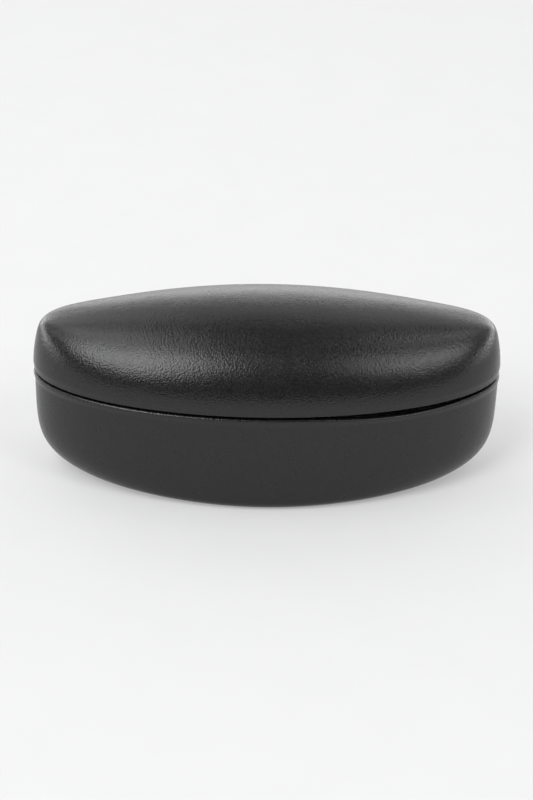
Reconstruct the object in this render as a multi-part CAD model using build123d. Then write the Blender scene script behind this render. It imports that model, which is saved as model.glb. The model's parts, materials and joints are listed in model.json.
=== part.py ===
from build123d import *
from functools import lru_cache
import math
import os

# Hard clamshell eyeglasses case, closed, 165 mm long.
#
# Frame: millimetres, +Z up, origin at the centre of the flat bottom, +X along the case's length,
# -Y towards the front opening edge, +Y towards the hinge.
#
# Each half is a drawn steel shell with leatherette glued over it and turned in at the rim, a formed
# tray inside, and a plush lining.  A sprung barrel hinge joins the halves at the middle of the back.

# ---- driving dimensions, mm ----
HALF_LENGTH = 82.5        # outer half length of both halves at the seam
HALF_DEPTH = 35.0         # outer half depth at the seam
PLAN_POWER = 1.955        # the plan outline is a superellipse, close to an ellipse
BACK_FLAT_Y = 33.4        # the back is flattened here to seat the hinge

BASE_HEIGHT = 37.4        # bottom to the top of the base's rim
BASE_END_POWER = 5.42     # how late the end walls turn in towards the bottom
BASE_END_REACH = 1.0345   # share of the height at which that turn would close
BASE_SIDE_POWER = 5.6     # the same for the front and back walls
BASE_SIDE_REACH = 1.894
BASE_EDGE_RADIUS = 3.5    # round between the walls and the flat bottom

SEAM_GAP = 0.7            # dark line between the two rims
LID_HEIGHT = 27.3         # seam to the top of the crown
LID_OVERHANG = 0.45       # the lid's rim stands this far outside the base's
LID_ARCH_RADIUS = 421.0   # the crest's long arch, end to end
LID_END_POWER = 18.0      # how tightly the crest turns down into the end walls
LID_WALL_DRAFT = 0.076    # the end walls would lean in by this share at the crown's height
LID_SIDE_POWER = 2.13     # the dome's section across the middle
LID_END_SIDE_POWER = 4.0  # its squarer section towards the ends
LID_SECTION_TURN = 8.0    # how close to the ends the section turns square

RIM_DIP = 1.2             # the base's rim sags at the front right, so the seam gapes there
RIM_DIP_START = 12.0      # x range of the sag
RIM_DIP_END = 81.0

LEATHER = 0.8             # leatherette thickness
STEEL = 0.5               # shell sheet thickness
TRAY = 0.8                # formed inner tray
PLUSH = 0.9               # pile and backing of the lining
FOAM = 1.8                # pad under the lining on the floor of the base
GLUE = 0.05               # bond line between layers
TURN_IN = 6.0             # leatherette turned in below the rim
TRAY_DROP = 1.2           # the tray's edge lies this far inside the rim
PLUSH_DROP = 0.9          # the lining's edge covers the tray's

PIN_RADIUS = 1.0
KNUCKLE_RADIUS = 1.6
LEAF = 0.6                # hinge leaf sheet thickness
LEAF_HEIGHT = 7.0         # from the pin's axis to the leaf's free edge
LEAF_START = 2.4          # the leaf's plate begins this far from the axis
RUNNING_FIT = 0.03        # radial clearance of the pin in the lid's knuckles
PRESS_FIT = 0.01          # radial clearance of the pin in the base's knuckles
SPRING_WIRE = 0.5
SPRING_RADIUS = 1.9       # mean radius of the coil
SPRING_TURNS = 8
SPRING_LEG = 6.2          # straight leg at each end of the coil
LEAF_CORNER = 1.5         # round on the leaf's free corners
STRAP_LAP = 0.5           # the rolled straps run this far onto the plate
PIN_OVERHANG = 0.35       # the pin stands out of the end knuckles
PIN_ROUND = 0.3
HINGE_HALF_WIDTH = 18.4
KNUCKLE_GAP = 0.3
CENTRE_KNUCKLE_HALF = 2.5
LID_KNUCKLE_WIDTH = 4.0
SPRING_SPACE = 6.0        # length of barrel left to each coil
NOTCH_HALF_WIDTH = 19.2   # opening in the walls around the barrel
NOTCH_HALF_HEIGHT = 2.5
NOTCH_REACH = 6.0         # the openings at the hinge begin this far in front of its axis
POCKET_MARGIN = 1.0       # room past the leaf's free edge
RELIEF_HEIGHT = 1.9       # the rims' outer corners are eased behind the axis
RIVET_RADIUS = 0.9        # shank
RIVET_HOLE_RADIUS = 0.92
RIVET_HEAD_RADIUS = 1.4
RIVET_HEAD = 0.4
KEEPER_DROP = 5.4         # lanced tab over each spring leg, measured from the axis
KEEPER_WIDTH = 2.4
KEEPER_HEIGHT = 1.6
KEEPER_SHEET = 0.4
RIVET_XS = (-16.4, 0.0, 16.4)
RIVET_DROP = 4.9          # rivet row, measured from the axis

COVER_HALF_WIDTH = 20.5   # lining strip that hides the hinge inside
COVER = 0.6
COVER_DOWN = 11.0         # its reach below and above the axis
COVER_UP = 5.2
COVER_GAP = 0.1           # air between the strip and the linings

# ---- derived places ----
BASE_RIM = BASE_HEIGHT
LID_RIM = BASE_HEIGHT + SEAM_GAP
AXIS_Y = BACK_FLAT_Y - LEATHER - GLUE - STEEL - GLUE - LEAF + KNUCKLE_RADIUS
AXIS_Z = BASE_HEIGHT + SEAM_GAP / 2
STEEL_IN = LEATHER + GLUE
TURN_IN_OUT = STEEL_IN + STEEL + GLUE
TRAY_IN = TURN_IN_OUT + LEATHER + GLUE
PLUSH_IN = TRAY_IN + TRAY + GLUE
ROOM = PLUSH_IN + PLUSH   # inset of the free inner face
LEAF_Y = AXIS_Y - KNUCKLE_RADIUS + LEAF / 2
OPEN_END = 3.0            # raw solids run this far past the rim before trimming
OUTLINE_POINTS = 24
BISECTIONS = 60
TINY = 1e-9
FUSE = 0.02               # pieces that become one solid overlap by this much
BIG = 400.0


# ---- shape of the two halves ----
def closed_outline(points, z):
    return Face(Wire(Edge.make_spline([Vector(x, y, z) for x, y in points], periodic=True)))


def superellipse_point(index):
    """Unit superellipse at one of the outline's evenly spaced angles."""
    angle = 2 * math.pi * index / OUTLINE_POINTS
    c = math.cos(angle)
    s = math.sin(angle)
    unit_x = math.copysign(abs(c) ** (2 / PLAN_POWER), c)
    unit_y = math.copysign(abs(s) ** (2 / PLAN_POWER), s)
    return unit_x, unit_y


def base_outline(t, inset):
    """Plan of the base at t = 0 on the rim to 1 on the bottom."""
    level = max(t, 0.0)
    half_x = HALF_LENGTH * (1 - (level / BASE_END_REACH) ** BASE_END_POWER) ** (1 / BASE_END_POWER)
    half_y = HALF_DEPTH * (1 - (level / BASE_SIDE_REACH) ** BASE_SIDE_POWER) ** (1 / BASE_SIDE_POWER)
    into_edge = max(0.0, 1 - (1 - level) * BASE_HEIGHT / BASE_EDGE_RADIUS)
    round_off = BASE_EDGE_RADIUS * (1 - math.sqrt(max(0.0, 1 - into_edge ** 2))) + inset
    points = []
    for index in range(OUTLINE_POINTS):
        unit_x, unit_y = superellipse_point(index)
        points.append(((half_x - round_off) * unit_x, (half_y - round_off) * unit_y))
    return closed_outline(points, BASE_RIM - t * (BASE_HEIGHT - inset))


def lid_crest(share_x, half_x, inset):
    """Height of the lid's crest above its rim, at a share of the half length there."""
    arch = LID_HEIGHT - inset - (half_x * share_x) ** 2 / (2 * LID_ARCH_RADIUS)
    return arch * (1 - share_x ** LID_END_POWER) ** (1 / LID_END_POWER)


def lid_outline(s, inset):
    """Plan of the lid at s = 0 on the rim to 1 on the crown."""
    level = max(s, 0.0)
    height = level * (LID_HEIGHT - inset)
    half_x = (HALF_LENGTH + LID_OVERHANG) * (1 - LID_WALL_DRAFT * level ** 2) - inset
    half_y = HALF_DEPTH + LID_OVERHANG - inset
    reach_low = 0.0
    reach_high = 1.0
    for _ in range(BISECTIONS):
        middle = (reach_low + reach_high) / 2
        if lid_crest(middle, half_x, inset) > height:
            reach_low = middle
        else:
            reach_high = middle
    points = []
    for index in range(OUTLINE_POINTS):
        unit_x, unit_y = superellipse_point(index)
        share_x = abs(reach_low * unit_x)
        power = LID_SIDE_POWER + (LID_END_SIDE_POWER - LID_SIDE_POWER) * share_x ** LID_SECTION_TURN
        rise = min(1.0, height / max(lid_crest(share_x, half_x, inset), height, TINY))
        dome = (1 - rise ** power) ** (1 / power)
        plan = (1 - share_x ** PLAN_POWER) ** (1 / PLAN_POWER)
        y = 0.0 if abs(unit_y) < TINY else math.copysign(half_y * dome * plan, unit_y)
        points.append((half_x * reach_low * unit_x, y))
    return closed_outline(points, LID_RIM + s * (LID_HEIGHT - inset))


def flatten_back(solid, inset):
    keep = Pos(0, BACK_FLAT_Y - inset - BIG / 2, 0) * Box(BIG, BIG, BIG)
    return solid & keep


@lru_cache(maxsize=None)
def base_solid(inset):
    """The base's outer form shrunk by inset all round, running past the rim."""
    levels = [-OPEN_END / BASE_HEIGHT, 0, 0.15, 0.3, 0.45, 0.57, 0.67, 0.76, 0.83, 0.885]
    edge_start = 1 - BASE_EDGE_RADIUS / BASE_HEIGHT
    for step in range(1, 6):
        levels.append(edge_start + (1 - edge_start) * math.sin(math.pi / 2 * step / 5))
    return flatten_back(loft([base_outline(t, inset) for t in levels]), inset)


@lru_cache(maxsize=None)
def lid_solid(inset):
    """The lid's outer form shrunk by inset all round, running past the rim."""
    levels = [-OPEN_END / LID_HEIGHT, 0, 0.14, 0.27, 0.38, 0.47, 0.54, 0.6, 0.65, 0.7, 0.75]
    levels += [0.8, 0.85, 0.9, 0.94, 0.97, 0.99, 0.998]
    return flatten_back(loft([lid_outline(s, inset) for s in levels]), inset)


# ---- trimming tools ----
def rim_sag(x):
    """How far the base's front rim has sunk at x."""
    if x <= RIM_DIP_START or x >= RIM_DIP_END:
        return 0.0
    phase = (x - RIM_DIP_START) / (RIM_DIP_END - RIM_DIP_START)
    return RIM_DIP * math.sin(math.pi * phase) ** 1.5


def above_base_rim(drop):
    """Everything above the base's rim surface lowered by drop, front sag included."""
    plain = Pos(0, 0, BASE_RIM - drop + BIG / 2) * Box(BIG, BIG, BIG)
    xs = [RIM_DIP_START + (RIM_DIP_END - RIM_DIP_START) * i / 10 for i in range(11)]
    sag_line = [(x, BASE_RIM - drop - rim_sag(x)) for x in xs]
    with BuildPart() as sag:
        with BuildSketch(Plane.XZ):
            with BuildLine():
                Spline(sag_line)
                Polyline(
                    sag_line[-1],
                    (xs[-1], BASE_RIM - drop + 1),
                    (xs[0], BASE_RIM - drop + 1),
                    sag_line[0],
                )
            make_face()
        extrude(amount=HALF_DEPTH + 5)
    return plain + sag.part


def below_lid_rim(rise):
    """Everything below the lid's rim surface raised by rise."""
    return Pos(0, 0, LID_RIM + rise - BIG / 2) * Box(BIG, BIG, BIG)


def back_slot(half_width, down, up, y_from):
    """Box cut through the back walls around the hinge's axis."""
    height = down + up
    return Pos(0, y_from + BIG / 2, AXIS_Z + (up - down) / 2) * Box(2 * half_width, BIG, height)


def hinge_notch():
    """Opening in both rims for the barrel, with room for the rims' outer corners to pass."""
    notch = back_slot(NOTCH_HALF_WIDTH, NOTCH_HALF_HEIGHT, NOTCH_HALF_HEIGHT, AXIS_Y - NOTCH_REACH)
    corner_relief = Pos(0, AXIS_Y + BIG / 2, AXIS_Z) * Box(2 * HALF_DEPTH, BIG, RELIEF_HEIGHT)
    return notch + corner_relief


def hinge_pocket():
    """Room for the leaves, rivet heads and spring legs inside the walls."""
    reach = LEAF_HEIGHT + POCKET_MARGIN
    return back_slot(NOTCH_HALF_WIDTH, reach, reach, AXIS_Y - NOTCH_REACH)


# ---- layers of one half ----
def wrapped_skin(form, trim_at, rim, inward):
    """Leatherette over the outside, across the rim's edge and turned in behind it."""
    skin = form(0) - trim_at(0) - form(TURN_IN_OUT + LEATHER)
    shell_space = form(LEATHER) - form(TURN_IN_OUT) - trim_at(LEATHER)
    inside = form((LEATHER + TURN_IN_OUT) / 2)
    lip_end = rim + inward * TURN_IN
    past_lip = Pos(0, 0, lip_end + inward * BIG / 2) * Box(BIG, BIG, BIG)
    skin = skin - shell_space - (inside & past_lip) - (inside & hinge_pocket())
    return skin - hinge_notch()


def layer(form, trim_at, outer_inset, thickness, drop):
    return form(outer_inset) - trim_at(drop) - form(outer_inset + thickness)


def base_leather():
    return wrapped_skin(base_solid, above_base_rim, BASE_RIM, -1)


def lid_leather():
    return wrapped_skin(lid_solid, below_lid_rim, LID_RIM, 1)


def base_shell():
    shell = layer(base_solid, above_base_rim, STEEL_IN, STEEL, STEEL_IN)
    return shell - hinge_notch() - rivet_holes(-1)


def lid_shell():
    shell = layer(lid_solid, below_lid_rim, STEEL_IN, STEEL, STEEL_IN)
    return shell - hinge_notch() - rivet_holes(1)


def base_tray():
    return layer(base_solid, above_base_rim, TRAY_IN, TRAY, TRAY_DROP) - hinge_pocket()


def lid_tray():
    return layer(lid_solid, below_lid_rim, TRAY_IN, TRAY, TRAY_DROP) - hinge_pocket()


def base_foam_pad():
    floor = PLUSH_IN
    slab = Pos(0, 0, floor + FOAM / 2) * Box(BIG, BIG, FOAM)
    return base_solid(PLUSH_IN + GLUE) & slab


def base_plush():
    floor = PLUSH_IN + FOAM + GLUE
    below = Pos(0, 0, floor - BIG / 2) * Box(BIG, BIG, BIG)
    below_inside = Pos(0, 0, floor + PLUSH - BIG / 2) * Box(BIG, BIG, BIG)
    outer = base_solid(PLUSH_IN) - above_base_rim(PLUSH_DROP) - below
    return outer - (base_solid(ROOM) - below_inside)


def lid_plush():
    return layer(lid_solid, below_lid_rim, PLUSH_IN, PLUSH, PLUSH_DROP)


# ---- hinge ----
def x_cylinder(radius, x_low, x_high, y=AXIS_Y, z=AXIS_Z):
    middle = (x_low + x_high) / 2
    return Pos(middle, y, z) * Rot(0, 90, 0) * Cylinder(radius, x_high - x_low)


def knuckle_spans():
    """X ranges of the barrel's pieces: base knuckles, lid knuckles and spring coils."""
    lid_low = CENTRE_KNUCKLE_HALF + KNUCKLE_GAP
    lid_high = lid_low + LID_KNUCKLE_WIDTH
    coil_low = lid_high + KNUCKLE_GAP
    coil_high = coil_low + SPRING_SPACE
    end_low = coil_high + KNUCKLE_GAP
    base = [(-CENTRE_KNUCKLE_HALF, CENTRE_KNUCKLE_HALF)]
    base += [(end_low, HINGE_HALF_WIDTH), (-HINGE_HALF_WIDTH, -end_low)]
    lid = [(lid_low, lid_high), (-lid_high, -lid_low)]
    return base, lid, (coil_low, coil_high)


def hinge_leaf(spans, up, bore_radius, leg_x):
    """One leaf: a flat plate inside the wall, rolled round the pin at each of its knuckles."""
    plate_height = LEAF_HEIGHT - LEAF_START
    plate_z = AXIS_Z + up * (LEAF_START + plate_height / 2)
    leaf = Pos(0, LEAF_Y, plate_z) * Box(2 * HINGE_HALF_WIDTH, LEAF, plate_height)
    corners = leaf.edges().filter_by(Axis.Y).group_by(Axis.Z)[-1 if up > 0 else 0]
    leaf = fillet(corners, LEAF_CORNER)
    strap_height = LEAF_START + STRAP_LAP
    for low, high in spans:
        leaf += x_cylinder(KNUCKLE_RADIUS, low, high)
        strap = Pos((low + high) / 2, LEAF_Y, AXIS_Z + up * strap_height / 2)
        leaf += strap * Box(high - low, LEAF, strap_height)
    for x in (-leg_x, leg_x):
        leaf += leg_keeper(x, up)
    leaf -= x_cylinder(bore_radius, -BIG / 2, BIG / 2)
    return leaf - rivet_holes(up)


def leg_keeper(x, up):
    """Tab lanced out of the leaf and bridging a spring leg."""
    leaf_face = LEAF_Y - LEAF / 2
    depth = SPRING_WIRE + 2 * GLUE + KEEPER_SHEET
    z = AXIS_Z + up * KEEPER_DROP
    tab = Pos(x, leaf_face - depth / 2, z) * Box(KEEPER_WIDTH, depth, KEEPER_HEIGHT)
    passage_width = KEEPER_WIDTH - 2 * KEEPER_SHEET
    passage_depth = depth - KEEPER_SHEET
    passage = Pos(x, leaf_face - passage_depth / 2, z)
    return tab - passage * Box(passage_width, passage_depth, KEEPER_HEIGHT)


def spring_leg_xs():
    """Where the legs cross their keepers: the lid's leg inboard, the base's outboard."""
    low, high = knuckle_spans()[2]
    lean = KEEPER_DROP * (high - low - SPRING_WIRE) / SPRING_TURNS / (2 * math.pi * SPRING_RADIUS)
    return low + SPRING_WIRE / 2 - lean, high - SPRING_WIRE / 2 + lean


def hinge_leaf_base():
    return hinge_leaf(knuckle_spans()[0], -1, PIN_RADIUS + PRESS_FIT, spring_leg_xs()[1])


def hinge_leaf_lid():
    return hinge_leaf(knuckle_spans()[1], 1, PIN_RADIUS + RUNNING_FIT, spring_leg_xs()[0])


def hinge_pin():
    """Plain pin with rounded ends just outside the end knuckles."""
    end = HINGE_HALF_WIDTH + PIN_OVERHANG
    pin = x_cylinder(PIN_RADIUS, -end, end)
    return fillet(pin.edges().filter_by(GeomType.CIRCLE), PIN_ROUND)


def hinge_spring_right():
    """Torsion spring on the pin: a leg up the lid's leaf, a leg down the base's."""
    low, high = knuckle_spans()[2]
    length = high - low - SPRING_WIRE
    path = Helix(length / SPRING_TURNS, length, SPRING_RADIUS)
    wire = sweep(Plane(path @ 0, z_dir=path % 0) * Circle(SPRING_WIRE / 2), path=path, is_frenet=True)
    for end, way in ((0, -1), (1, 1)):
        wire += spring_leg(path @ end, (path % end) * way)
    lay_along_pin = Pos(low + SPRING_WIRE / 2, AXIS_Y, AXIS_Z) * Rot(0, 90, 0) * Rot(0, 0, -90)
    return lay_along_pin * wire


def hinge_spring_left():
    return mirror(hinge_spring_right(), about=Plane.YZ)


def spring_leg(start, direction):
    """Straight run of wire carrying a coil's end on along its tangent."""
    plane = Plane(start - direction * FUSE, z_dir=direction)
    return extrude(plane * Circle(SPRING_WIRE / 2), amount=SPRING_LEG)


# ---- rivets and the strip over the hinge ----
def along_y(radius, x, z, y_low, y_high):
    return Pos(x, (y_low + y_high) / 2, z) * Rot(90, 0, 0) * Cylinder(radius, y_high - y_low)


def rivet_holes(up):
    z = AXIS_Z + up * RIVET_DROP
    return Part() + [along_y(RIVET_HOLE_RADIUS, x, z, AXIS_Y - 3, AXIS_Y + 3) for x in RIVET_XS]


def rivets(up):
    """Three rivets holding a leaf to its shell, flush outside under the leatherette."""
    head_face = LEAF_Y - LEAF / 2
    outer_face = BACK_FLAT_Y - STEEL_IN
    z = AXIS_Z + up * RIVET_DROP
    group = []
    for x in RIVET_XS:
        head = along_y(RIVET_HEAD_RADIUS, x, z, head_face - RIVET_HEAD - PRESS_FIT, head_face - PRESS_FIT)
        head = fillet(head.edges().group_by(Axis.Y)[0], RIVET_HEAD * 0.8)
        group.append(head + along_y(RIVET_RADIUS, x, z, head_face - FUSE, outer_face))
    return Compound(children=group)


def base_rivets():
    return rivets(-1)


def lid_rivets():
    return rivets(1)


def hinge_cover():
    """Lining strip glued across the two linings, hiding the leaves and springs."""
    y = BACK_FLAT_Y - ROOM - COVER_GAP - COVER / 2
    height = COVER_DOWN + COVER_UP
    strip = Pos(0, y, AXIS_Z + (COVER_UP - COVER_DOWN) / 2)
    return strip * Box(2 * COVER_HALF_WIDTH, COVER, height)


PARTS = [
    base_leather, base_shell, base_tray, base_foam_pad, base_plush,
    lid_leather, lid_shell, lid_tray, lid_plush,
    hinge_leaf_base, hinge_leaf_lid, hinge_pin, hinge_spring_left, hinge_spring_right,
    base_rivets, lid_rivets, hinge_cover,
]

os.makedirs("parts", exist_ok=True)
for make in PARTS:
    export_step(make(), f"parts/{make.__name__}.step")
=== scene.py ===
"""Looks of the hard clamshell eyeglasses case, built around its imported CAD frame.  Metres."""
import bmesh
import bpy
import json
import math
import numpy as np
from mathutils import Matrix, Vector


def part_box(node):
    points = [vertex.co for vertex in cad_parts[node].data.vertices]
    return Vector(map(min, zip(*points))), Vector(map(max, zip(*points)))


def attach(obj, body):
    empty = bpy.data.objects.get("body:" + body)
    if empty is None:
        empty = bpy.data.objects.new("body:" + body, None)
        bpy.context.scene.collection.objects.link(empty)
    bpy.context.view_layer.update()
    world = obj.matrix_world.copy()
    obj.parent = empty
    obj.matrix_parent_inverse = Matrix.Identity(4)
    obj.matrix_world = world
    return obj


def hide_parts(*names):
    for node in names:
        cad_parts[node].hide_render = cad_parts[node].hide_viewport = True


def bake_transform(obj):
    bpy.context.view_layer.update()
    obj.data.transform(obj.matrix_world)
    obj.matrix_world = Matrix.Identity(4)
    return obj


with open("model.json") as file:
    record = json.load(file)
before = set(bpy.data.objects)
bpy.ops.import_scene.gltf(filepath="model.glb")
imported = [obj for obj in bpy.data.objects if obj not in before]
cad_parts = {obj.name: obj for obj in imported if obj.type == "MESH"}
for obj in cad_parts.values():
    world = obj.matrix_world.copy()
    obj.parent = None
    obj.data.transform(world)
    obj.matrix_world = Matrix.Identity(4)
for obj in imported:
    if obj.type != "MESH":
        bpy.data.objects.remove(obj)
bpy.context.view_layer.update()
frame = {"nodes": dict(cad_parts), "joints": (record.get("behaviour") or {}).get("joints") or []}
MM = 0.001

# ---- places, from the frame ----
base_low, base_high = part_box("base_leather")
lid_low, lid_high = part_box("lid_leather")
joint = frame["joints"][0]
AXIS_Y, AXIS_Z = joint["pos_m"][1], joint["pos_m"][2]

# ---- the case's form, as the CAD draws it ----
PLAN_POWER = 1.955
BASE_END_POWER, BASE_END_REACH = 5.42, 1.0345
BASE_SIDE_POWER, BASE_SIDE_REACH = 5.6, 1.894
BASE_EDGE_RADIUS = 3.5 * MM
LID_ARCH_RADIUS = 421 * MM
LID_WALL_DRAFT = 0.076
LID_END_POWER = 18
LID_END_SIDE_POWER = 4
LID_SIDE_POWER = 2.13
RIM_DIP = 1.2 * MM
RIM_DIP_START, RIM_DIP_END = 12 * MM, 81 * MM
NOTCH_HALF_WIDTH = 19.2 * MM
NOTCH_SOFTNESS = 0.7 * MM
NOTCH_DEPTH = 2.0 * MM
RIM_CHANGE_REACH = 9 * MM     # how far from the rim its dip and notch still bend the wall

# Insets from the outside, and depths from the rim.
LEATHER = 0.8 * MM
LIP_OUT, LIP_IN, LIP_DEPTH = 1.4 * MM, 2.2 * MM, 6 * MM
NOTCH_LIP_OUT, NOTCH_LIP_IN, NOTCH_LIP_DEPTH = 1.1 * MM, 1.36 * MM, 1.0 * MM
RIM_ROLL, LIP_ROLL = 0.75 * MM, 0.6 * MM
RIM_BEAD, LID_TUCK = 0.4 * MM, 0.3 * MM
BEAD_START = 3.2 * MM
PLUSH_OUT, PLUSH_IN = 3.1 * MM, 4.0 * MM
PLUSH_TOP = 0.9 * MM
PLUSH_ROLL = (PLUSH_IN - PLUSH_OUT) / 2
FLOOR_CORNER = 3.2 * MM

FLOOR_RINGS = (0.04, 0.15, 0.3, 0.45, 0.6, 0.75, 0.87, 0.95)
EDGE_RINGS, WALL_RINGS, DOME_RINGS = 12, 46, 76

BASE_HALF_LENGTH = (base_high.x - base_low.x) / 2
BASE_HALF_DEPTH = -base_low.y
BASE_RIM = base_high.z
LID_HALF_LENGTH = (lid_high.x - lid_low.x) / 2
LID_HALF_DEPTH = -lid_low.y
LID_RIM = lid_low.z
LID_HEIGHT = 27.3 * MM
BACK_FLAT_Y = base_high.y
FLAT_BLEND = 0.8 * MM


def plan_angles(count=360):
    """Plan angles, the same front and back, and denser at the ends of the hinge's notch."""
    even = np.linspace(0, math.pi, count // 2 + 1)
    notch_end = math.acos((NOTCH_HALF_WIDTH / BASE_HALF_LENGTH) ** (PLAN_POWER / 2))
    dense = notch_end + np.linspace(-0.035, 0.035, 30)
    back = np.unique(np.round(np.concatenate([even, dense, math.pi - dense]), 6))
    return np.concatenate([back[:-1], math.pi + back[:-1]])


PHI = plan_angles()
UNIT_X = np.sign(np.cos(PHI)) * np.abs(np.cos(PHI)) ** (2 / PLAN_POWER)
UNIT_Y = np.sign(np.sin(PHI)) * np.abs(np.sin(PHI)) ** (2 / PLAN_POWER)


def smooth_step(value, start, end):
    """0 up to start, 1 from end on, and an even turn between them."""
    t = np.clip((value - start) / (end - start), 0, 1)
    return t * t * (3 - 2 * t)


def at_hinge():
    """1 along the hinge's notch in the back wall, 0 elsewhere, for each plan angle."""
    x = np.abs(BASE_HALF_LENGTH * UNIT_X)
    past_end = smooth_step(x - NOTCH_HALF_WIDTH, -NOTCH_SOFTNESS, NOTCH_SOFTNESS)
    return np.where(UNIT_Y > 0, 1 - past_end, 0.0)


HINGE = at_hinge()


def rim_sag():
    """How far the base's front rim has sunk, for each plan angle."""
    x = BASE_HALF_LENGTH * UNIT_X
    phase = np.clip((x - RIM_DIP_START) / (RIM_DIP_END - RIM_DIP_START), 0, 1)
    return np.where(UNIT_Y < 0, RIM_DIP * np.sin(math.pi * phase) ** 1.5, 0.0)


def flattened(y, inset):
    """The back pressed flat, with a soft turn into the flat."""
    flat = BACK_FLAT_Y - inset
    closeness = np.maximum(FLAT_BLEND - np.abs(y - flat), 0) / FLAT_BLEND
    return np.minimum(y, flat) - closeness ** 2 * FLAT_BLEND / 4


def shrunk(ring, shares):
    """Copies of a ring, drawn in towards the case's middle."""
    rings = []
    for share in shares:
        inner = ring.copy()
        inner[:, :2] *= share
        rings.append(inner)
    return rings


class Base:
    """The lower half: rings of points by depth below its rim and inset from its outside.

    Its inward is the way along Z from the rim into the half; a positive bead swells the rim.
    """
    rim, inward, bead = BASE_RIM, -1, RIM_BEAD
    drop = rim_sag() + HINGE * NOTCH_DEPTH

    def surface(self, depth, inset):
        level = np.clip(depth / (BASE_RIM - inset), 0, 1)
        end_curve = (1 - (level / BASE_END_REACH) ** BASE_END_POWER) ** (1 / BASE_END_POWER)
        side_curve = (1 - (level / BASE_SIDE_REACH) ** BASE_SIDE_POWER) ** (1 / BASE_SIDE_POWER)
        into_edge = np.clip(1 - (1 - level) * BASE_RIM / BASE_EDGE_RADIUS, 0, 1)
        round_off = BASE_EDGE_RADIUS * (1 - np.sqrt(1 - into_edge ** 2)) + inset
        x = (BASE_HALF_LENGTH * end_curve - round_off) * UNIT_X
        y = flattened((BASE_HALF_DEPTH * side_curve - round_off) * UNIT_Y, inset)
        return np.stack([x, y, self.rim - depth], 1)

    def far_rows(self, start, inset):
        """Rings from the middle of the bottom up the walls to depth start."""
        deepest = BASE_RIM - inset
        edge = deepest * (1 - BASE_EDGE_RADIUS / BASE_RIM)
        rows = shrunk(self.surface(np.full_like(PHI, deepest), inset), FLOOR_RINGS)
        for k in range(EDGE_RINGS, 0, -1):
            depth = edge + (deepest - edge) * math.sin(math.pi / 2 * k / EDGE_RINGS)
            rows.append(self.surface(np.full_like(PHI, depth), inset))
        for share in np.linspace(1, 0, WALL_RINGS):
            rows.append(self.row(start + (edge - start) * share, inset))
        return rows

    def dropped(self, depth):
        """The depth with the rim's dip and notch added, fading away from the rim."""
        return depth + self.drop * np.clip(1 - depth / RIM_CHANGE_REACH, 0, 1) ** 2

    def row(self, depth, inset):
        """Ring at a depth below this half's own rim."""
        depth = np.broadcast_to(np.asarray(depth, float), PHI.shape)
        inset = np.broadcast_to(np.asarray(inset, float), PHI.shape)
        return self.surface(self.dropped(depth), inset)


class Lid(Base):
    """The upper half: a dome over an arched crest, squarer in section towards the rounded ends."""
    rim, inward, bead = LID_RIM, 1, -LID_TUCK
    drop = HINGE * NOTCH_DEPTH
    power = LID_SIDE_POWER + (LID_END_SIDE_POWER - LID_SIDE_POWER) * np.abs(UNIT_X) ** 8
    turned = (1 - np.abs(UNIT_X) ** LID_END_POWER) ** (1 / LID_END_POWER)

    def half_x(self, depth, inset):
        """Half the lid's length at a height over its rim."""
        level = depth / (LID_HEIGHT - inset)
        return LID_HALF_LENGTH * (1 - LID_WALL_DRAFT * level ** 2) - inset

    def crest(self, depth, inset):
        """Height of the crest at each ring point's x, for points at the given depth."""
        x = self.half_x(depth, inset) * UNIT_X
        return (LID_HEIGHT - inset - x ** 2 / (2 * LID_ARCH_RADIUS)) * self.turned

    def surface(self, depth, inset):
        crest = np.maximum(self.crest(depth, inset), 1e-9)
        across = (1 - np.clip(depth / crest, 0, 1) ** self.power) ** (1 / self.power)
        x = self.half_x(depth, inset) * UNIT_X
        y = flattened((LID_HALF_DEPTH - inset) * across * UNIT_Y, inset)
        return np.stack([x, y, self.rim + depth], 1)

    def far_rows(self, start, inset):
        """Rings from the crest line down over the shoulders and walls to depth start."""
        first = self.dropped(np.full_like(PHI, start))
        rows = []
        for share in np.linspace(1, 0, DOME_RINGS) ** 1.15:
            height = np.sin(share * math.pi / 2) ** (2 / self.power)
            depth = first
            for _ in range(6):  # the crest's height depends a little on the depth
                depth = first + np.maximum(self.crest(depth, inset) - first, 0) * height
            ring = self.surface(depth, inset)
            if share == 1:
                ring[:, 1] = 0
            rows.append(ring)
        return rows


base_half, lid_half = Base(), Lid()


def arc(centre_inset, centre_depth, radius, start, end, steps):
    """Round in a rim's section, as (depth, inset) pairs; angles in degrees from outward."""
    return [(centre_depth - radius * math.sin(a), centre_inset - radius * math.cos(a))
            for a in np.radians(np.linspace(start, end, steps))]


def closed_mesh(name, rows):
    """Closed surface through rings of points, with a fan at an end that isn't a line."""
    count = len(PHI)
    points = [p for row in rows for p in row]
    faces = []
    sides = [(i, (i + 1) % count) for i in range(count)]
    for r in range(len(rows) - 1):
        a, b = r * count, (r + 1) * count
        faces += [(a + i, a + j, b + j, b + i) for i, j in sides]
    for r in (0, len(rows) - 1):
        if np.ptp(rows[r][:, 1]) > 1e-6:
            points.append(rows[r].mean(0))
            faces += [(len(points) - 1, r * count + i, r * count + j) for i, j in sides]
    return new_mesh(name, points, faces)


def new_mesh(name, points, faces, smooth=True):
    """Object from points and faces, with doubles merged and its normals outward."""
    mesh = bpy.data.meshes.new(name)
    mesh.from_pydata([tuple(p) for p in points], [], faces)
    piece = bpy.data.objects.new(name, mesh)
    bpy.context.scene.collection.objects.link(piece)
    work = bmesh.new()
    work.from_mesh(mesh)
    bmesh.ops.remove_doubles(work, verts=work.verts, dist=1e-6)
    bmesh.ops.dissolve_degenerate(work, edges=work.edges, dist=1e-7)
    bmesh.ops.recalc_face_normals(work, faces=work.faces)
    work.to_mesh(mesh)
    work.free()
    mesh.polygons.foreach_set("use_smooth", [smooth] * len(mesh.polygons))
    return piece


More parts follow.
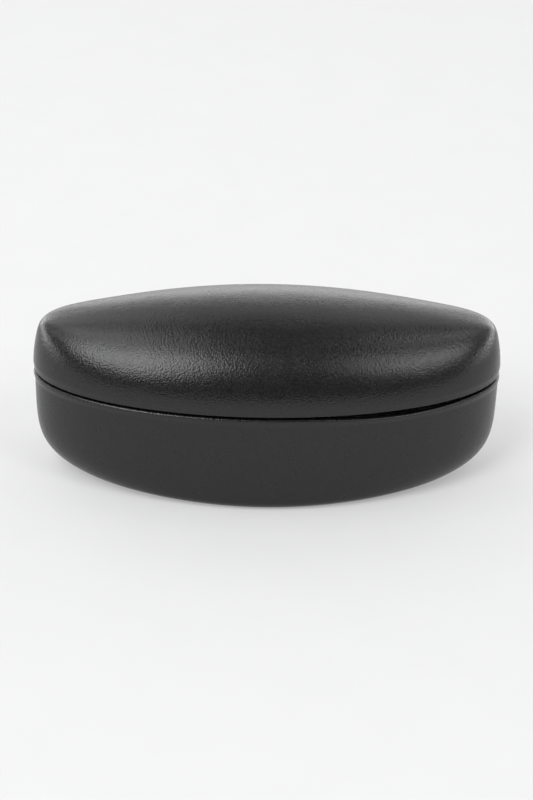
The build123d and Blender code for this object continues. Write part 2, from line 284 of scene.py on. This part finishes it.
# ---- leatherette ----
def leather_cover(name, half):
    """Leatherette over the outside, rolled over the rim and turned in behind it."""
    lip_in = LIP_IN + (NOTCH_LIP_IN - LIP_IN) * HINGE
    lip_end = LIP_DEPTH + (NOTCH_LIP_DEPTH - LIP_DEPTH) * HINGE
    lip_out = LIP_OUT + (NOTCH_LIP_OUT - LIP_OUT) * HINGE
    bead = half.bead * (1 - HINGE)
    steps = np.linspace(0, 1, 9)[1:]
    rows = half.far_rows(BEAD_START, 0.0)
    for share in steps:
        depth = BEAD_START + (RIM_ROLL - BEAD_START) * share
        rows.append(half.row(depth, -bead * smooth_step(share, 0, 1)))
    for depth, inset in arc(RIM_ROLL, RIM_ROLL, RIM_ROLL, 10, 90, 8):
        rows.append(half.row(depth, inset - bead * (1 - inset / RIM_ROLL)))
    for share in (0.33, 0.67):
        rows.append(half.row(0, RIM_ROLL + (lip_in - LIP_ROLL - RIM_ROLL) * share))
    for depth, inset in arc(0, LIP_ROLL, LIP_ROLL, 90, 180, 7):
        rows.append(half.row(depth, lip_in - LIP_ROLL + inset))
    for share in steps:
        rows.append(half.row(LIP_ROLL + (lip_end - LIP_ROLL) * share, lip_in))
    rows.append(half.row(lip_end + 0.15 * MM, (lip_in + lip_out) / 2))
    rows.append(half.row(lip_end, lip_out))
    rows.append(half.row(LEATHER, lip_out))
    rows.append(half.row(LEATHER, LEATHER))
    rows += half.far_rows(LEATHER + 0.2 * MM, LEATHER)[::-1]
    return closed_mesh(name, rows)


# ---- linings ----
def pile_edge(half):
    """Rounded top edge of a lining, from its free face over to the side on the tray."""
    pairs = arc(PLUSH_IN - PLUSH_ROLL, PLUSH_TOP + PLUSH_ROLL, PLUSH_ROLL, 180, 0, 9)
    return [half.row(depth, inset) for depth, inset in pairs[1:]]


def base_lining(name):
    """Plush over the foam on the floor and up the walls, with a soft corner between them."""
    floor_depth = BASE_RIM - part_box("base_plush")[0].z - 0.9 * MM
    face = base_half.row(floor_depth, PLUSH_IN + FLOOR_CORNER)
    under = base_half.row(floor_depth + 0.85 * MM, PLUSH_OUT + 1 * MM)
    rows = shrunk(face, (0.04, 0.15, 0.3, 0.45, 0.6, 0.74, 0.87, 1.0))
    for a in np.radians(np.linspace(0, 90, 9))[1:]:
        depth = floor_depth - FLOOR_CORNER * (1 - math.cos(a))
        rows.append(base_half.row(depth, PLUSH_IN + FLOOR_CORNER * (1 - math.sin(a))))
    for depth in np.linspace(floor_depth - FLOOR_CORNER, PLUSH_TOP + PLUSH_ROLL, 24)[1:]:
        rows.append(base_half.row(depth, PLUSH_IN))
    rows += pile_edge(base_half)
    for depth in np.linspace(PLUSH_TOP + 1.5 * PLUSH_ROLL, floor_depth - 1 * MM, 14):
        rows.append(base_half.row(depth, PLUSH_OUT))
    rows += shrunk(under, (1.0, 0.75, 0.5, 0.25, 0.05))
    return closed_mesh(name, rows)


def lid_lining(name):
    """Plush over the inside of the lid's dome."""
    rows = lid_half.far_rows(PLUSH_TOP + PLUSH_ROLL, PLUSH_IN)
    rows += pile_edge(lid_half)
    rows += lid_half.far_rows(PLUSH_TOP + 1.5 * PLUSH_ROLL, PLUSH_OUT)[::-1]
    return closed_mesh(name, rows)


def foam_sheet(name):
    """Foam on the tray's floor, cut to its outline, with a soft round edge."""
    low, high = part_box("base_foam_pad")
    bottom, top = BASE_RIM - low.z, BASE_RIM - high.z
    middle, bulge = (bottom + top) / 2, (bottom - top) / 2
    edge = PLUSH_IN + 0.1 * MM
    rows = [base_half.row(middle - bulge * math.sin(a), edge + bulge * (1 - math.cos(a)))
            for a in np.radians(np.linspace(-90, 90, 13))]
    under, over = shrunk(rows[0], FLOOR_RINGS), shrunk(rows[-1], FLOOR_RINGS)
    return closed_mesh(name, under + rows + over[::-1])


# ---- strip over the hinge ----
def hinge_strip(name):
    """Plush strip over the seam behind the hinge, following both linings' faces."""
    low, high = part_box("hinge_cover")
    half_width = (high.x - low.x) / 2
    gap, thickness = 0.06 * MM, 0.5 * MM
    slack_depth, slack_spread = 1.1 * MM, 2.6 * MM
    across, along = 41, 37
    front, back = [], []
    for j in range(along):
        z = low.z + (high.z - low.z) * j / (along - 1)
        for i in range(across):
            x = -half_width + 2 * half_width * i / (across - 1)
            y = lining_face_y(x, z) - gap
            slack = slack_depth * math.exp(-((z - AXIS_Z) / slack_spread) ** 2)
            edge = min(j, along - 1 - j, i, across - 1 - i)
            puff = thickness * min(1.0, 0.35 + edge * 0.33)
            back.append((x, y - slack * 0.3, z))
            front.append((x, y - slack - puff, z))
    return slab_mesh(name, front, back, across, along)


def lining_face_y(x, z):
    """Y of the linings' free face at the back, at x and height z."""
    half = base_half if z < AXIS_Z else lid_half
    depth = max(0.0, half.inward * (z - half.rim))
    ring = half.surface(np.full_like(PHI, depth), np.full_like(PHI, PLUSH_IN))
    back = ring[UNIT_Y >= 0]
    back = back[np.argsort(back[:, 0])]
    return float(np.interp(x, back[:, 0], back[:, 1]))


def slab_mesh(name, front, back, across, along):
    """Closed thin slab from two grids of points."""
    points = front + back
    offset = len(front)
    faces = []
    for j in range(along - 1):
        for i in range(across - 1):
            a = j * across + i
            quad = (a, a + 1, a + 1 + across, a + across)
            faces.append(quad)
            faces.append(tuple(offset + k for k in quad[::-1]))
    edge = list(range(across))
    edge += [j * across + across - 1 for j in range(1, along)]
    edge += [(along - 1) * across + i for i in range(across - 2, -1, -1)]
    edge += [j * across for j in range(along - 2, 0, -1)]
    for k, a in enumerate(edge):
        b = edge[(k + 1) % len(edge)]
        faces.append((a, offset + a, offset + b, b))
    return new_mesh(name, points, faces)


# ---- springs ----
def spring_mesh(name, side):
    """Torsion spring: turns round the pin, a leg up the lid's leaf and one down the base's."""
    wire, radius, leg = 0.25 * MM, 1.9 * MM, 6.2 * MM
    coil_low, coil_high = 7.35 * MM, 12.85 * MM
    turns, turn_steps, leg_steps = 8, 36, 7
    pitch = (coil_high - coil_low) / turns / (2 * math.pi * radius)
    reaches = [leg * k / leg_steps for k in range(1, leg_steps + 1)]
    path = [(coil_low - pitch * reach, -radius, reach) for reach in reversed(reaches)]
    for k in range(turns * turn_steps + 1):
        a = 2 * math.pi * k / turn_steps
        x = coil_low + (coil_high - coil_low) * k / (turns * turn_steps)
        path.append((x, -radius * math.cos(a), -radius * math.sin(a)))
    path += [(coil_high + pitch * reach, -radius, -reach) for reach in reaches]
    path = [Vector((side * x, AXIS_Y + y, AXIS_Z + z)) for x, y, z in path]
    return tube(name, path, wire, 14)


def tube(name, path, radius, sides):
    """Closed round tube along a path."""
    points, faces = [], []
    direction = (path[1] - path[0]).normalized()
    across = direction.orthogonal().normalized()
    for i, p in enumerate(path):
        ahead = path[min(i + 1, len(path) - 1)]
        behind = path[max(i - 1, 0)]
        tangent = (ahead - behind).normalized()
        across = (across - tangent * across.dot(tangent)).normalized()
        other = tangent.cross(across)
        for k in range(sides):
            a = 2 * math.pi * k / sides
            points.append(p + (across * math.cos(a) + other * math.sin(a)) * radius)
    for i in range(len(path) - 1):
        for k in range(sides):
            n = (k + 1) % sides
            faces.append((i * sides + k, i * sides + n, (i + 1) * sides + n, (i + 1) * sides + k))
    faces.append(tuple(range(sides))[::-1])
    faces.append(tuple((len(path) - 1) * sides + k for k in range(sides)))
    return new_mesh(name, points, faces)


# ---- materials ----
def new_material(name):
    """Material with a plain shader on its output; returns both."""
    material = bpy.data.materials.new(name)
    material.use_nodes = True
    nodes = material.node_tree.nodes
    nodes.clear()
    output = nodes.new("ShaderNodeOutputMaterial")
    shader = nodes.new("ShaderNodeBsdfPrincipled")
    material.node_tree.links.new(shader.outputs[0], output.inputs[0])
    return material, shader


class Graph:
    """Small helper for wiring the nodes of a material or world."""

    def __init__(self, owner):
        self.tree = owner.node_tree

    def add(self, kind, **inputs):
        node = self.tree.nodes.new(kind)
        for key, value in inputs.items():
            if key.startswith("set_"):
                setattr(node, key[4:], value)
            elif hasattr(value, "is_output"):
                self.tree.links.new(value, node.inputs[key.replace("_", " ")])
            else:
                node.inputs[key.replace("_", " ")].default_value = value
        return node

    def place(self):
        return self.add("ShaderNodeTexCoord").outputs["Object"]

    def noise(self, place, scale, detail=2.0, roughness=0.5):
        return self.add("ShaderNodeTexNoise", Vector=place, Scale=scale, Detail=detail,
                        Roughness=roughness).outputs["Fac"]

    def ramp(self, value, low, high, out_low, out_high, kind="LINEAR"):
        node = self.add("ShaderNodeMapRange", set_interpolation_type=kind, Value=value,
                        From_Min=low, From_Max=high, To_Min=out_low, To_Max=out_high)
        return node.outputs["Result"]

    def math(self, operation, first, second=0.0):
        node = self.add("ShaderNodeMath", set_operation=operation)
        for slot, value in ((0, first), (1, second)):
            if hasattr(value, "is_output"):
                self.tree.links.new(value, node.inputs[slot])
            else:
                node.inputs[slot].default_value = value
        return node.outputs[0]

    def mix(self, factor, first, second):
        """Mix of two colours, which are the node's inputs 6 and 7."""
        node = self.add("ShaderNodeMix", set_data_type="RGBA", Factor=factor)
        node.inputs[6].default_value = (*first, 1)
        node.inputs[7].default_value = (*second, 1)
        return node.outputs[2]

    def bump(self, height, distance, strength, under=None):
        node = self.add("ShaderNodeBump", Height=height, Distance=distance, Strength=strength)
        if under is not None:
            self.tree.links.new(under, node.inputs["Normal"])
        return node.outputs["Normal"]

    def into(self, shader, **links):
        for key, value in links.items():
            self.tree.links.new(value, shader.inputs[key.replace("_", " ")])


def leatherette():
    """Black leatherette with a fine pebbled grain, painted shade in the grain's grooves, and
    slightly uneven gloss.
    """
    material, shader = new_material("black_leatherette")
    g = Graph(material)
    place = g.place()
    pebble = g.add("ShaderNodeTexVoronoi", Vector=place, Scale=1580.0, Randomness=0.9,
                   set_feature="SMOOTH_F1", Smoothness=0.35).outputs["Distance"]
    pore = g.noise(place, 3000.0, 1.0)
    sway = g.noise(place, 70.0, 1.0)
    height = g.math("ADD", g.math("MULTIPLY", pebble, -1.0), g.math("MULTIPLY", pore, 0.15))
    normal = g.bump(sway, distance=0.00035, strength=0.4)
    normal = g.bump(height, distance=0.00009, strength=0.8, under=normal)
    # painted shade: the colour is far darker in the pebble grain's grooves, where the bump's
    # height is low
    groove_shade = g.ramp(pebble, 0.1, 0.7, 0.0, 1.0)
    tone = g.mix(groove_shade, (0.011, 0.011, 0.0115), (0.001, 0.001, 0.0012))
    patchy = g.noise(place, 260.0, 3.0)
    gloss = g.ramp(patchy, 0.3, 0.7, 0.24, 0.28)
    g.into(shader, Base_Color=tone, Normal=normal, Roughness=gloss)
    shader.inputs["Specular IOR Level"].default_value = 0.5
    return material


def plush():
    """Short black pile."""
    material, shader = new_material("black_plush")
    g = Graph(material)
    place = g.place()
    pile = g.noise(place, 5200.0, 2.0, 0.7)
    nap = g.noise(place, 160.0, 3.0)
    tone = g.mix(g.ramp(nap, 0.3, 0.7, 0.0, 1.0), (0.012, 0.012, 0.013), (0.022, 0.022, 0.024))
    normal = g.bump(nap, distance=0.0006, strength=0.35)
    normal = g.bump(pile, distance=0.0002, strength=0.7, under=normal)
    g.into(shader, Base_Color=tone, Normal=normal)
    shader.inputs["Roughness"].default_value = 0.95
    shader.inputs["Specular IOR Level"].default_value = 0.2
    shader.inputs["Sheen Weight"].default_value = 0.5
    shader.inputs["Sheen Roughness"].default_value = 0.4
    shader.inputs["Sheen Tint"].default_value = (0.5, 0.5, 0.55, 1)
    return material


def metal(name, colour, rough_low, rough_high, scratch):
    """Metal brushed along X, with dull spots; scratch is the depth of its lines."""
    material, shader = new_material(name)
    g = Graph(material)
    place = g.place()
    stretched = (160.0, 2600.0, 2600.0)
    brushed = g.add("ShaderNodeMapping", Vector=place, Scale=stretched).outputs["Vector"]
    lines = g.noise(brushed, 1.0, 3.0)
    spots = g.noise(place, 500.0, 3.0)
    dull = tuple(c * 0.72 for c in colour)
    tone = g.mix(g.ramp(spots, 0.35, 0.65, 0.0, 1.0), dull, colour)
    g.into(shader, Base_Color=tone, Normal=g.bump(lines, distance=scratch, strength=0.3),
           Roughness=g.ramp(spots, 0.3, 0.7, rough_low, rough_high))
    shader.inputs["Metallic"].default_value = 1.0
    return material


def tray_plastic():
    """Formed black plastic with a fine matt texture."""
    material, shader = new_material("tray_plastic")
    g = Graph(material)
    place = g.place()
    fine = g.noise(place, 1500.0, 3.0)
    g.into(shader, Normal=g.bump(fine, distance=0.00005, strength=0.4),
           Roughness=g.ramp(fine, 0.3, 0.7, 0.45, 0.6))
    shader.inputs["Base Color"].default_value = (0.012, 0.012, 0.012, 1)
    return material


def foam():
    """Grey open-cell foam, with painted shade in its cell pits."""
    material, shader = new_material("foam_sheet")
    g = Graph(material)
    place = g.place()
    cells = g.add("ShaderNodeTexVoronoi", Vector=place, Scale=1800.0).outputs["Distance"]
    # painted shade: the grey darkens towards near black at the middle of each cell, where the bump
    # sinks into a pit
    g.into(shader, Normal=g.bump(cells, distance=0.0002, strength=0.8),
           Base_Color=g.mix(cells, (0.05, 0.05, 0.05), (0.16, 0.16, 0.16)))
    shader.inputs["Roughness"].default_value = 0.95
    return material


def floor_paper():
    """White sheet lit a little from behind, which keeps the shadow on it pale."""
    material, shader = new_material("studio_floor")
    g = Graph(material)
    place = g.place()
    fine = g.noise(place, 40.0, 2.0)
    g.into(shader, Base_Color=g.mix(fine, (0.44, 0.44, 0.44), (0.46, 0.46, 0.46)))
    shader.inputs["Roughness"].default_value = 0.9
    shader.inputs["Specular IOR Level"].default_value = 0.1
    shader.inputs["Emission Color"].default_value = (1.0, 1.0, 1.0, 1)
    shader.inputs["Emission Strength"].default_value = 0.308
    return material


def wear(piece, material):
    """Give a piece one material."""
    piece.data.materials.clear()
    piece.data.materials.append(material)


# ---- assemble ----
LEATHERETTE, PLUSH = leatherette(), plush()
NICKEL = metal("nickel_plate", (0.62, 0.61, 0.59), 0.28, 0.42, 0.00002)
SHEET = metal("steel_sheet", (0.45, 0.45, 0.46), 0.4, 0.55, 0.00003)
WIRE = metal("spring_wire", (0.40, 0.40, 0.41), 0.25, 0.35, 0.00001)

for name, half, body, node in (
    ("base_cover", base_half, "base", "base_leather"),
    ("lid_cover", lid_half, "lid", "lid_leather"),
):
    cover = leather_cover(name, half)
    wear(cover, LEATHERETTE)
    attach(cover, body)
    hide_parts(node)

for name, make, body, node in (
    ("base_lining", base_lining, "base", "base_plush"),
    ("lid_lining", lid_lining, "lid", "lid_plush"),
):
    lining = make(name)
    wear(lining, PLUSH)
    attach(lining, body)
    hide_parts(node)

pad = foam_sheet("foam_pad")
wear(pad, foam())
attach(pad, "base")
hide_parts("base_foam_pad")

strip = hinge_strip("hinge_strip")
wear(strip, PLUSH)
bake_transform(strip)
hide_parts("hinge_cover")

for name, side in (("left", -1), ("right", 1)):
    spring = spring_mesh(f"spring_{name}", side)
    wear(spring, WIRE)
    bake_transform(spring)
    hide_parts(f"hinge_spring_{name}")

for node in ("hinge_leaf_base", "hinge_leaf_lid", "hinge_pin", "base_rivets", "lid_rivets"):
    wear(frame["nodes"][node], NICKEL)
for node in ("base_shell", "lid_shell"):
    wear(frame["nodes"][node], SHEET)
TRAY = tray_plastic()
for node in ("base_tray", "lid_tray"):
    wear(frame["nodes"][node], TRAY)


# ---- floor, light and camera ----
def make_floor():
    """Plain pale sheet just under the case."""
    size = 8.0
    corners = [(-size, -size, 0), (size, -size, 0), (size, size, 0), (-size, size, 0)]
    floor = new_mesh("studio_floor", corners, [(0, 1, 2, 3)], smooth=False)
    floor.location.z = base_low.z - 0.0001
    wear(floor, floor_paper())


WALL_LOW, WALL_HIGH, AMBIENT = 1.7, 0.5, 0.25
GLOW_LEFT, GLOW_RIGHT, GLOW_CORNERS = 4.6, 3.6, 2.8


def make_world():
    """Studio round the case: dim, with a pale wall behind and a glow low at the sides and corners.

    The brightness is worked out from the direction alone: X to the right, Y back and Z up.
    """
    world = bpy.data.worlds.new("studio")
    bpy.context.scene.world = world
    world.use_nodes = True
    world.node_tree.nodes.clear()
    g = Graph(world)
    direction = g.add("ShaderNodeTexCoord").outputs["Generated"]
    parts = g.add("ShaderNodeSeparateXYZ", Vector=direction).outputs

    def fade(value, low, high, out_low, out_high):
        return g.ramp(value, low, high, out_low, out_high, kind="SMOOTHSTEP")

    wall = g.math("ADD", fade(parts["Z"], 0.26, 0.43, WALL_LOW, 0.0),
                  fade(parts["Z"], 0.70, 0.95, WALL_HIGH, 0.0))
    behind = g.math("MULTIPLY", wall, fade(parts["Y"], 0.0, 0.45, 0.0, 1.0))
    beside = g.math("ADD", fade(parts["X"], -0.995, -0.91, GLOW_LEFT, 0.0),
                    fade(parts["X"], 0.88, 0.99, 0.0, GLOW_RIGHT))
    to_side = g.math("ABSOLUTE", parts["X"])
    corners = g.math("MULTIPLY", fade(to_side, 0.3, 0.55, 0.0, GLOW_CORNERS),
                     fade(parts["Y"], 0.0, 0.3, 0.0, 1.0))
    near_floor = fade(parts["Z"], 0.10, 0.27, 1.0, 0.0)
    glow = g.math("MULTIPLY", g.math("ADD", beside, corners), near_floor)
    light = g.math("ADD", g.math("ADD", behind, glow), AMBIENT)
    sky = g.add("ShaderNodeBackground", Color=(1.0, 1.0, 1.0, 1), Strength=light)
    g.add("ShaderNodeOutputWorld", Surface=sky.outputs[0])


LIGHT_DISTANCE = 2.6
LIGHT_COLOUR = (0.985, 0.988, 1.0)
LIGHT_AIM = Vector((0, 0, 0.035))


def softbox(name, azimuth, elevation, width, height, radiance):
    """Oval area light facing the case; degrees from the front, positive to the right, and up."""
    light = bpy.data.lights.new(name, "AREA")
    light.shape = "ELLIPSE"
    light.size, light.size_y = width, height
    light.energy = radiance * math.pi ** 2 / 4 * width * height
    light.color = LIGHT_COLOUR
    lamp = bpy.data.objects.new(name, light)
    bpy.context.scene.collection.objects.link(lamp)
    a, e = math.radians(azimuth), math.radians(elevation)
    direction = Vector((math.sin(a) * math.cos(e), -math.cos(a) * math.cos(e), math.sin(e)))
    lamp.location = LIGHT_AIM + direction * LIGHT_DISTANCE
    lamp.rotation_euler = (-direction).to_track_quat("-Z", "Y").to_euler()


# In radians: how far the camera looks down, stands to the left and is turned clockwise.
CAMERA_TILT, CAMERA_YAW, CAMERA_ROLL = 0.5334, 0.0281, -0.0236
CAMERA_DISTANCE = 0.700
CAMERA_LENS = 87.634
CAMERA_AIM_HEIGHT = 24.696 * MM


def make_camera():
    """The photograph's view: a long lens looking down at the front."""
    data = bpy.data.cameras.new("camera")
    data.lens = CAMERA_LENS
    data.clip_start, data.clip_end = 0.01, 50
    camera = bpy.data.objects.new("camera", data)
    bpy.context.scene.collection.objects.link(camera)
    bpy.context.scene.camera = camera
    tilt, yaw, roll = CAMERA_TILT, CAMERA_YAW, CAMERA_ROLL
    flat_right = Vector((math.cos(yaw), -math.sin(yaw), 0))
    level = Vector((-math.sin(yaw), -math.cos(yaw), 0))
    back = level * math.cos(tilt) + Vector((0, 0, math.sin(tilt)))
    flat_up = back.cross(flat_right)
    right = flat_right * math.cos(roll) - flat_up * math.sin(roll)
    up = flat_right * math.sin(roll) + flat_up * math.cos(roll)
    turn = Matrix((right, up, back)).transposed().to_4x4()
    place = Vector((0, 0, CAMERA_AIM_HEIGHT)) + back * CAMERA_DISTANCE
    camera.matrix_world = Matrix.Translation(place) @ turn


make_floor()
make_world()
softbox("left_box", -43, 46, width=1.25, height=2.1, radiance=6.1)
softbox("left_top", -98, 66, width=1.3, height=1.1, radiance=2.7)
softbox("left_back", -143, 44, width=1.5, height=1.5, radiance=1.15)
softbox("left_side", -90, 38, width=1.0, height=1.1, radiance=1.5)
softbox("right_box", 52, 43, width=0.95, height=1.7, radiance=4.2)
softbox("right_top", 104, 61, width=0.95, height=0.8, radiance=2.6)
softbox("right_back", 150, 42, width=1.4, height=1.4, radiance=0.4)
softbox("right_side", 95, 36, width=1.0, height=1.0, radiance=0.6)
make_camera()
bpy.context.scene.view_settings.view_transform = "Standard"
